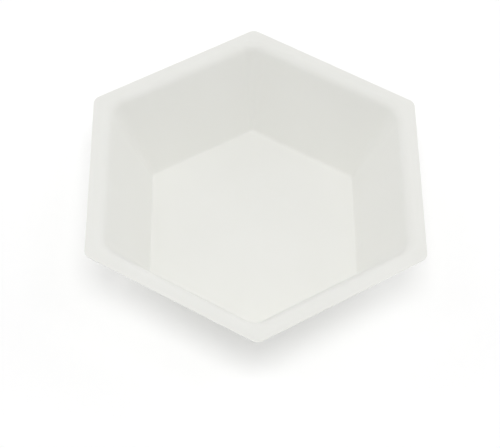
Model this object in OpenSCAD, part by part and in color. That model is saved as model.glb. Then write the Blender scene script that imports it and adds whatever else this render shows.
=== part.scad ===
// Hexagonal weighing boat, formed in one piece from thin polystyrene sheet: a flat hexagonal
// floor, six sloping walls, and a flat rim that runs all round the mouth. The corners between
// the walls are tight at the floor and open out towards the mouth.
// Millimetres. +Z is up, two of the flats face along X, and two of the corners lie on Y. The
// origin is the centre of the floor's underside, which is the face that the dish stands on.

/* [Rim] */
// Across the flats of the trimmed rim
rim_flats = 78; // [70:0.5:100]
// From the trimmed edge to where the flat rim would meet the wall if the bend were sharp
rim_width = 3.8; // [3.5:0.1:7]
// Corner radius of the trimmed outline
rim_corner_r = 2.3; // [1:0.1:6]

/* [Well] */
// Across the flats of the floor, to where the wall would meet it if the bend were sharp
floor_flats = 50; // [35:0.5:55]
// Depth of the well, from the top of the rim to the floor
depth = 20.3; // [12:0.1:30]
// Corner radius of the flat part of the floor
floor_corner_r = 0.6; // [0.3:0.1:4]
// Corner radius between two walls at the tops of the walls, in plan, on the inside
mouth_corner_r = 5; // [2:0.1:8]

/* [Bends] */
// Radius inside the bend between floor and wall
floor_bend_r = 0.7; // [0.4:0.1:1.8]
// Radius inside the bend between wall and rim, on its underside
rim_bend_r = 2.5; // [0.6:0.1:3.5]

/* [Sheet] */
// Thickness of the sheet
sheet_t = 0.3; // [0.2:0.05:0.8]

/* [Hidden] */
corner_steps = 8; // facets round each 60 degree corner
bend_steps = 8; // facets through each bend
cut_clear = 1; // how far the cutting shape runs above the rim

rim_z = sheet_t + depth;
mouth_flats = rim_flats - 2 * rim_width;
wall_angle = atan2(depth, (mouth_flats - floor_flats) / 2); // above the horizontal

// Each bend's centre in the section, which the sheet's two faces share
floor_bend_x = floor_flats / 2 - floor_bend_r * tan(wall_angle / 2);
floor_bend_z = sheet_t + floor_bend_r;
rim_bend_x = mouth_flats / 2 + (rim_bend_r + sheet_t) * tan(wall_angle / 2);
rim_bend_z = rim_z - sheet_t - rim_bend_r;

// Half the flats of the hexagon on which the corner arcs are centred, at the wall's foot and head
foot_core = floor_bend_x - floor_corner_r;
head_core = rim_bend_x - (rim_bend_r + sheet_t) * sin(wall_angle) - mouth_corner_r;

// A level is one outline of the dish: [half its flats, half its core hexagon's flats, height].

// The bend between floor and wall, on the face that has radius r, from the floor up
function floor_bend(r) = [
    for (i = [0:bend_steps])
        let (turn = wall_angle * i / bend_steps)
            [floor_bend_x + r * sin(turn), foot_core, floor_bend_z - r * cos(turn)]
];

// The bend between wall and rim, on the face that has radius r, from the wall up
function rim_bend(r) = [
    for (i = [0:bend_steps])
        let (turn = wall_angle * (1 - i / bend_steps))
            [rim_bend_x - r * sin(turn), head_core, rim_bend_z + r * cos(turn)]
];

// A level's points: six flats joined by corner arcs, anticlockwise from above
function outline(level) =
    let (half = level[0], core = level[1], z = level[2])
    [
        for (corner = [30:60:330], i = [0:corner_steps])
            let (arc = corner + 60 * (i / corner_steps - 0.5))
                [
                    core / cos(30) * cos(corner) + (half - core) * cos(arc),
                    core / cos(30) * sin(corner) + (half - core) * sin(arc),
                    z
                ]
    ];

// A closed solid that follows the levels from the lowest to the highest
module stack(levels) {
    count = 6 * (corner_steps + 1);
    top = (len(levels) - 1) * count;
    polyhedron(
        points = [for (level = levels) each outline(level)],
        faces = [
            [for (j = [0:count - 1]) j],
            [for (j = [count - 1:-1:0]) top + j],
            for (base = [0:count:top - 1], j = [0:count - 1])
                let (next = (j + 1) % count)
                    [base + j, base + count + j, base + count + next, base + next]
        ]
    );
}

// The dish as if it were filled level with the rim
module filled_dish() {
    edge = rim_flats / 2;
    edge_core = edge - rim_corner_r;
    stack([
        each floor_bend(floor_bend_r + sheet_t),
        each rim_bend(rim_bend_r),
        [edge, edge_core, rim_z - sheet_t],
        [edge, edge_core, rim_z]
    ]);
}

// The hollow, which leaves one thickness of sheet everywhere
module well() {
    stack([
        each floor_bend(floor_bend_r),
        each rim_bend(rim_bend_r + sheet_t),
        [rim_bend_x, head_core, rim_z + cut_clear]
    ]);
}

module dish() {
    color("#e8e9e4")
        difference() {
            filled_dish();
            well();
        }
}

dish();
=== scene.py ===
"""The look of a hexagonal weighing boat, formed in one piece from thin white polystyrene.

Everything is in metres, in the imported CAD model's frame: the origin is the centre of the
floor's underside, +Z is up, and two of the rim's corners lie on Y.
"""
import math

import bpy
from mathutils import Matrix, Vector


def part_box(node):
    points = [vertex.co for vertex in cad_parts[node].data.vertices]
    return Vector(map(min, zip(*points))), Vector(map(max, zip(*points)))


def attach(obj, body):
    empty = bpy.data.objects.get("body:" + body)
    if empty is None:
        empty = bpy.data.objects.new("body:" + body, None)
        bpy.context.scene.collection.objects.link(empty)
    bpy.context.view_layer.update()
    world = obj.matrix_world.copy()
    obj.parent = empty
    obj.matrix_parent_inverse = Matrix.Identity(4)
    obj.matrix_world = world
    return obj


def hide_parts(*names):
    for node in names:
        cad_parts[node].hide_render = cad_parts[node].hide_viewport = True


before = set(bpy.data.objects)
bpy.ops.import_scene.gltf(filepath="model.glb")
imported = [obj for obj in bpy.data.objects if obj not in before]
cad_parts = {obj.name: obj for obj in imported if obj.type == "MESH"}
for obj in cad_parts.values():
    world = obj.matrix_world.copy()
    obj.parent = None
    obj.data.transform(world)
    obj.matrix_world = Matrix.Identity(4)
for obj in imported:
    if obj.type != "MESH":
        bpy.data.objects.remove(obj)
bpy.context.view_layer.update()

MM = 0.001
dish_low, dish_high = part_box("dish")

# ---- Sizes of the dish: what the frame gives, then what only the part's source gives ----

RIM_FLATS = dish_high.x - dish_low.x
RIM_Z = dish_high.z

RIM_WIDTH = 3.8 * MM        # trimmed edge to the sharp corner of rim and wall
RIM_CORNER_R = 2.3 * MM
FLOOR_FLATS = 50 * MM       # across the sharp corners of floor and wall
FLOOR_CORNER_R = 0.6 * MM   # of the flat part of the floor
MOUTH_CORNER_R = 5 * MM     # between two walls, at their tops
FLOOR_BEND_R = 0.7 * MM
RIM_BEND_R = 2.5 * MM
SHEET = 0.3 * MM
EDGE_ROUND = 0.07 * MM      # the trimmed edge, barely broken
LIGHT_PATH = 0.1 * MM       # how far light travels inside the sheet

MOUTH_FLATS = RIM_FLATS - 2 * RIM_WIDTH
WALL_ANGLE = math.atan2(RIM_Z - SHEET, (MOUTH_FLATS - FLOOR_FLATS) / 2)

# How finely each stretch of the mesh is divided
CORNER_STEPS = 12           # round each corner of an outline
SIDE_STEPS = 16
BEND_STEPS = 14
FLOOR_STEPS = 14
WALL_STEPS = 16
RIM_STEPS = 8
EDGE_STEPS = 3
CENTRE_SHARE = 0.08         # size of the one flat face at the floor's centre

SIXTH = math.radians(60)    # the turn from one corner to the next

# ---- Section of the sheet ----
# A level is one outline of the dish: half its flats, half the flats of the hexagon on which
# its corner arcs are centred, and its height.

floor_bend_x = FLOOR_FLATS / 2 - FLOOR_BEND_R * math.tan(WALL_ANGLE / 2)
floor_bend_z = SHEET + FLOOR_BEND_R
rim_bend_x = MOUTH_FLATS / 2 + (RIM_BEND_R + SHEET) * math.tan(WALL_ANGLE / 2)
rim_bend_z = RIM_Z - SHEET - RIM_BEND_R
foot_core = floor_bend_x - FLOOR_CORNER_R
head_core = rim_bend_x - (RIM_BEND_R + SHEET) * math.sin(WALL_ANGLE) - MOUTH_CORNER_R


def spread(start, end, steps):
    """Levels from start to end, closer together towards both ends; the start is left out."""
    shares = [(1 - math.cos(math.pi * i / steps)) / 2 for i in range(1, steps + 1)]
    return [tuple(a + (b - a) * t for a, b in zip(start, end)) for t in shares]


def floor_bend(radius):
    """The bend between floor and wall, from the floor up."""
    turns = [WALL_ANGLE * i / BEND_STEPS for i in range(BEND_STEPS + 1)]
    return [
        (floor_bend_x + radius * math.sin(t), foot_core, floor_bend_z - radius * math.cos(t))
        for t in turns
    ]


def rim_bend(radius):
    """The bend between wall and rim, from the wall up."""
    turns = [WALL_ANGLE * (1 - i / BEND_STEPS) for i in range(BEND_STEPS + 1)]
    return [
        (rim_bend_x - radius * math.sin(t), head_core, rim_bend_z + radius * math.cos(t))
        for t in turns
    ]


def sheet_face(floor_radius, rim_radius, rim_edge):
    """One face of the sheet, from the middle of the floor out to the trimmed edge."""
    foot, head = floor_bend(floor_radius), rim_bend(rim_radius)
    half, core, z = foot[0]
    centre = (half * CENTRE_SHARE, core * CENTRE_SHARE, z)
    return (
        [centre]
        + spread(centre, foot[0], FLOOR_STEPS)
        + foot[1:]
        + spread(foot[-1], head[0], WALL_STEPS)
        + head[1:]
        + spread(head[-1], rim_edge, RIM_STEPS)
    )


def trimmed_edge(edge, core):
    """The rounded edge of the rim, from its top face round to its underside."""
    quarter = [math.pi / 2 * i / EDGE_STEPS for i in range(EDGE_STEPS + 1)]
    inset = edge - EDGE_ROUND
    upper = [
        (inset + EDGE_ROUND * math.sin(t), core, RIM_Z - EDGE_ROUND + EDGE_ROUND * math.cos(t))
        for t in quarter
    ]
    underside = RIM_Z - SHEET
    lower = [(half, core, underside + RIM_Z - z) for half, core, z in reversed(upper)]
    return upper + lower


def outline(level):
    """A level's points, anticlockwise from above: corner arcs with divided sides between."""
    half, core, z = level
    reach = core / math.cos(SIXTH / 2)
    arcs = []
    for corner in range(6):
        middle = SIXTH * (corner + 0.5)
        centre = Vector((reach * math.cos(middle), reach * math.sin(middle), z))
        turns = [middle + SIXTH * (i / CORNER_STEPS - 0.5) for i in range(CORNER_STEPS + 1)]
        arcs.append([centre + (half - core) * Vector((math.cos(t), math.sin(t), 0)) for t in turns])
    points = []
    for arc, following in zip(arcs, arcs[1:] + arcs[:1]):
        points += arc
        points += [Vector(p) for p in spread(arc[-1], following[0], SIDE_STEPS)[:-1]]
    return points


def dish_mesh():
    """The whole sheet as one closed mesh."""
    edge = RIM_FLATS / 2
    rim = trimmed_edge(edge, edge - RIM_CORNER_R)
    inside = sheet_face(FLOOR_BEND_R, RIM_BEND_R + SHEET, rim[0])
    outside = sheet_face(FLOOR_BEND_R + SHEET, RIM_BEND_R, rim[-1])
    levels = inside + rim[1:-1] + outside[::-1]
    points = [p for level in levels for p in outline(level)]
    count = len(points) // len(levels)
    last = (len(levels) - 1) * count
    faces = [list(range(count)), [last + j for j in reversed(range(count))]]
    for base in range(0, last, count):
        for j in range(count):
            after = (j + 1) % count
            faces.append([base + j, base + count + j, base + count + after, base + after])
    mesh = bpy.data.meshes.new("dish_sheet")
    mesh.from_pydata(points, [], faces)
    mesh.shade_smooth()
    mesh.validate()
    return mesh


# ---- Materials ----

WHITE_LOW = (0.862, 0.863, 0.831, 1)    # the sheet's warm white, where it is darkest
WHITE_HIGH = (0.872, 0.873, 0.841, 1)   # and where it is palest
CLOUD_SCALE = 60                        # clouds of tint and gloss, about 17 mm across
GRAIN_SCALE = 3500                      # fine grain, about 0.3 mm across
GRAIN_HEIGHT = 0.02 * MM
GROUND_GLOW = 0.094


def polystyrene():
    """Formed white sheet: smooth, barely satin, and thin enough to let a little light through."""
    material = bpy.data.materials.new("white_polystyrene")
    material.use_nodes = True
    nodes, links = material.node_tree.nodes, material.node_tree.links
    shader = nodes["Principled BSDF"]
    shader.inputs["IOR"].default_value = 1.5
    shader.inputs["Subsurface Weight"].default_value = 1
    shader.inputs["Subsurface Radius"].default_value = (1, 1, 1)
    shader.inputs["Subsurface Scale"].default_value = LIGHT_PATH

    place = nodes.new("ShaderNodeTexCoord")
    clouds = nodes.new("ShaderNodeTexNoise")
    clouds.inputs["Scale"].default_value = CLOUD_SCALE
    clouds.inputs["Detail"].default_value = 2
    links.new(place.outputs["Object"], clouds.inputs["Vector"])

    tint = nodes.new("ShaderNodeValToRGB")
    low, high = tint.color_ramp.elements
    low.position, high.position = 0.3, 0.7
    low.color, high.color = WHITE_LOW, WHITE_HIGH
    links.new(clouds.outputs["Fac"], tint.inputs["Fac"])
    links.new(tint.outputs["Color"], shader.inputs["Base Color"])

    sheen = nodes.new("ShaderNodeMapRange")
    sheen.inputs["To Min"].default_value = 0.52
    sheen.inputs["To Max"].default_value = 0.60
    links.new(clouds.outputs["Fac"], sheen.inputs["Value"])
    links.new(sheen.outputs["Result"], shader.inputs["Roughness"])

    grain = nodes.new("ShaderNodeTexNoise")
    grain.inputs["Scale"].default_value = GRAIN_SCALE
    grain.inputs["Detail"].default_value = 3
    links.new(place.outputs["Object"], grain.inputs["Vector"])
    bump = nodes.new("ShaderNodeBump")
    bump.inputs["Strength"].default_value = 0.12
    bump.inputs["Distance"].default_value = GRAIN_HEIGHT
    links.new(grain.outputs["Fac"], bump.inputs["Height"])
    links.new(bump.outputs["Normal"], shader.inputs["Normal"])
    return material


def floor_paint():
    """The plain white ground, which glows a little so that it stays pure white round the dish."""
    material = bpy.data.materials.new("white_ground")
    material.use_nodes = True
    shader = material.node_tree.nodes["Principled BSDF"]
    shader.inputs["Base Color"].default_value = (0.97, 0.97, 0.97, 1)
    shader.inputs["Emission Color"].default_value = (1, 1, 1, 1)
    shader.inputs["Emission Strength"].default_value = GROUND_GLOW
    shader.inputs["Roughness"].default_value = 1
    shader.inputs["Specular IOR Level"].default_value = 0
    return material


# ---- Pieces ----


def add(name, data):
    """Puts a new object in the scene."""
    thing = bpy.data.objects.new(name, data)
    bpy.context.scene.collection.objects.link(thing)
    return thing


def make_dish():
    piece = add("dish_sheet", dish_mesh())
    piece.data.materials.append(polystyrene())
    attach(piece, "root")
    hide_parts("dish")


def make_ground():
    reach = 3.0
    mesh = bpy.data.meshes.new("ground")
    corners = [(-reach, -reach, 0), (reach, -reach, 0), (reach, reach, 0), (-reach, reach, 0)]
    mesh.from_pydata(corners, [], [(0, 1, 2, 3)])
    mesh.materials.append(floor_paint())
    add("ground", mesh)


# ---- Camera and light ----


def facing(azimuth, elevation):
    """The unit vector from the dish towards a place seen at these angles, in degrees."""
    a, e = math.radians(azimuth), math.radians(elevation)
    return Vector((math.sin(a) * math.cos(e), -math.cos(a) * math.cos(e), math.sin(e)))


def make_camera():
    """Looks down at the dish with one corner nearest, as in the photo."""
    azimuth, elevation, roll = -2.66, 56.21, 2.71
    distance = 360.3 * MM
    shift_right, shift_up = 1.3 * MM, 11.36 * MM     # of the rim's centre in the frame
    back = facing(azimuth, elevation)
    level = Vector((0, 0, 1)).cross(back).normalized()
    upright = back.cross(level)
    turn = math.radians(roll)
    right = level * math.cos(turn) + upright * math.sin(turn)
    up = upright * math.cos(turn) - level * math.sin(turn)
    data = bpy.data.cameras.new("camera")
    data.sensor_width = 36
    data.lens = 110.4
    data.clip_start = 10 * MM
    camera = add("camera", data)
    rim_centre = Vector((0, 0, RIM_Z))
    place = rim_centre + back * distance - right * shift_right - up * shift_up
    turned = Matrix((right, up, back)).transposed().to_4x4()
    camera.matrix_world = Matrix.Translation(place) @ turned
    bpy.context.scene.camera = camera


def make_softbox(name, azimuth, elevation, size, power):
    """A square light, one metre off, that faces the dish."""
    data = bpy.data.lights.new(name, "AREA")
    data.shape = "SQUARE"
    data.size = size
    data.energy = power
    light = add(name, data)
    towards = facing(azimuth, elevation)
    light.location = towards
    light.rotation_euler = towards.to_track_quat("Z", "Y").to_euler()


def make_light():
    """One softbox above, a large pair low behind, a small pair at the sides, and a dim sky.

    The right-hand light of the large pair is a little the stronger.
    """
    world = bpy.data.worlds.new("studio")
    bpy.context.scene.world = world
    world.use_nodes = True
    sky = world.node_tree.nodes["Background"]
    sky.inputs["Color"].default_value = (1, 1, 1, 1)
    sky.inputs["Strength"].default_value = 0.53
    make_softbox("softbox_top", azimuth=0, elevation=75, size=0.45, power=2.75)
    for side, word, power in ((-1, "left", 1.41), (1, "right", 1.61)):
        make_softbox("softbox_back_" + word, side * 120, elevation=25, size=0.8, power=power)
        make_softbox("softbox_side_" + word, side * 90, elevation=60, size=0.3, power=0.366)


make_camera()
make_ground()
make_dish()
make_light()
bpy.context.scene.view_settings.view_transform = "Standard"
